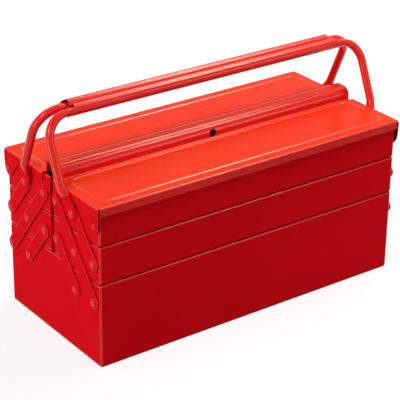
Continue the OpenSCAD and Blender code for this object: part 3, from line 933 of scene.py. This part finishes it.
def handle():
    """Bent tube with flattened, rounded ends that are pressed in above the rivet."""
    rings = []
    tab_r = TAB_W / 2
    tab_mid = -TAB_X - TAB_T / 2
    for z in lines((-tab_r + TAB_START, -tab_r + TAB_ROUND, 4), (-tab_r + TAB_ROUND, 0, 8),
                   (0, TAB_L, 4), (TAB_L, CRANK_L, 18), (CRANK_L, BEND_Z, 6)):
        part = (z - TAB_L) / (CRANK_L - TAB_L)
        grown = smooth(part)
        width = tab_r + (TUBE_R - tab_r) * grown
        if z < 0:
            width = math.sqrt(max(tab_r ** 2 - z * z, 0))
        thick = TAB_T / 2 + (TUBE_R - TAB_T / 2) * smooth(part * TAB_SWELL)
        x = tab_mid + (-LEG_X - tab_mid) * min(max(part, 0), 1)
        hollow = HOLLOW_DEPTH * math.exp(-((z - HOLLOW_Z) / HOLLOW_REACH) ** 2)
        rings.append(tube_ring((x, z), (-1, 0), thick, width, 2 + TAB_SQUARE * (1 - grown), hollow))
    for angle in steps(0, 90, TUBE_BEND_STEPS)[1:]:
        turn = math.radians(angle)
        out = (-math.cos(turn), math.sin(turn))
        pressed = GRIP_PRESS * smooth((angle - PRESS_ANGLE) / (90 - PRESS_ANGLE))
        reach = HANDLE_BEND - pressed
        centre = (-BEND_X + reach * out[0], BEND_Z + reach * out[1])
        rings.append(tube_ring(centre, out, TUBE_R - pressed, TUBE_R, 2, 0))
    other = [[(-x, y, z) for x, y, z in ring] for ring in rings[::-1]]
    points, faces = capped(rings + other)
    return lean_over(points), faces


def grip(diameter):
    """Sheet rolled around the tube, with slanted ends and an open seam underneath."""
    radius = diameter / 2
    middle_z = HANDLE_REACH + radius - SHEET - TUBE_R - GRIP_PLAY
    gap = math.asin(GRIP_SEAM / 2 / radius)
    rows = []
    for turn in steps(-math.pi / 2 + gap, 3 * math.pi / 2 - gap, GRIP_TURN_STEPS):
        y, z = radius * math.cos(turn), radius * math.sin(turn)
        reach = GRIP_X + GRIP_SLANT * (1 - z / radius) / 2
        rows.append([(part * reach, y, middle_z + z) for part in steps(-1, 1, GRIP_LENGTH_STEPS)])
    points, faces = grid(rows)
    return lean_over(points), faces


def outwards(face, axis_y, axis_z):
    """How far from a sleeve's axis a face lies, and less than 0 if the face looks towards the axis."""
    across, up = face.center.y / MM - axis_y, face.center.z / MM - axis_z
    return face.normal.y * across + face.normal.z * up


def make_handles():
    """The two handles and their grips."""
    for side, sign in SIDES:
        bail = make_piece(f"{side}_handle_tube", mirrored(handle(), y=sign), f"{side}_bail",
                          "handle_enamel", f"{side}_handle", SHARP_TUBE_ANGLE)
        for face in bail.data.polygons:
            across = face.center.y / MM + sign * ROW_MID
            rise = face.center.z / MM - LEVELS["upper"]
            face.material_index = TABS if math.hypot(across, rise) < TAB_L + TAB_FINISH else TUBE
        sleeve = make_piece(f"{side}_grip_roll", mirrored(grip(GRIP_D[side]), y=sign), f"{side}_bail",
                            "handle_enamel", f"{side}_grip_sleeve", SHARP_SHEET_ANGLE)
        axis_y = -GRIP_Y * sign
        axis_z = LEVELS["upper"] + (HANDLE_REACH + GRIP_D[side] / 2 - SHEET - TUBE_R) * math.cos(LEAN)
        if sum(outwards(face, axis_y, axis_z) for face in sleeve.data.polygons) < 0:
            sleeve.data.flip_normals()
        thicken(sleeve)
        # Faces of the sleeve's inside take the painted shade
        for face in sleeve.data.polygons:
            inside = outwards(face, axis_y, axis_z) < -SLEEVE_LEAST_R
            face.material_index = SLEEVE_SHADE if inside else TUBE


# Colours: the red of walls and arms, a warmer red painted on the lids' panels and folds as painted
# light, a pinker red on their front and rear skirt faces as painted sheen, the hood's and handles' red,
# and the darker reds of painted shade in slits, grip insides and shaded joints

RED = (0.86, 0.005, 0.013)
DEEP_RED = (0.82, 0.004, 0.011)
LIT_TOP_RED = (0.95, 0.043, 0.011)
DEEP_LIT_TOP_RED = (0.91, 0.037, 0.010)
SHEEN_SIDE_RED = (0.9, 0.012, 0.02)
ROUND_RED = (0.88, 0.008, 0.008)
PAINTED_SHADE_RED = (0.1, 0.001, 0.001)
SHADE_RED = (0.4, 0.002, 0.004)

# Each enamel's name, colour, deeper colour, roughness and specular level
flat = make_enamel("body_enamel", RED, DEEP_RED, 0.25, 0.004)
bends = make_enamel("body_enamel_bends", RED, DEEP_RED, 0.18, 0.45)
# Painted shade: a near-black red for the lids' slits, the inner sides of their ears and the grips'
# insides
painted_shade = make_enamel("lid_enamel_painted_shade", PAINTED_SHADE_RED, PAINTED_SHADE_RED, 0.5, 0.01)
shade = make_enamel("body_enamel_shaded", SHADE_RED, SHADE_RED, 0.5, 0.01)
# Painted light: the lids' panels and folds take a warmer, lighter red than their end faces, which keep
# the walls' red
panel = make_enamel("lid_enamel", LIT_TOP_RED, DEEP_LIT_TOP_RED, 0.25, 0.03)
folds = make_enamel("lid_enamel_folds", LIT_TOP_RED, DEEP_LIT_TOP_RED, 0.2, 0.4)
# Painted sheen: a pinker red on the lids' front and rear skirt faces
sheen_skirts = make_enamel("lid_enamel_sides_sheen", SHEEN_SIDE_RED, DEEP_RED, 0.35, 0.2)
hood = make_enamel("lid_enamel_hood", ROUND_RED, DEEP_RED, 0.2, 0.4)
tube = make_enamel("handle_enamel", ROUND_RED, DEEP_RED, 0.2, 0.4)
rivets = make_enamel("rivet_enamel", RED, DEEP_RED, 0.12, 0.22)
materials = {
    "body_enamel": [flat, bends, shade],
    "lid_enamel": [panel, hood, sheen_skirts, painted_shade, folds, flat],
    "arm_enamel": [flat, bends],
    "rivet_enamel": [rivets],
    "handle_enamel": [tube, flat, painted_shade],
}

make_camera()
make_world()
make_floor()
for lamp in LAMPS:
    make_lamp(*lamp)
make_trays()
make_lids()
make_arms()
make_rivets()
make_handles()
for part in frame["record"]["subparts"]:
    node = frame["nodes"][part["node"]]
    node.data.materials.clear()
    node.data.materials.append(materials[part["material_slot"]][0])

bpy.context.scene.view_settings.view_transform = "Standard"
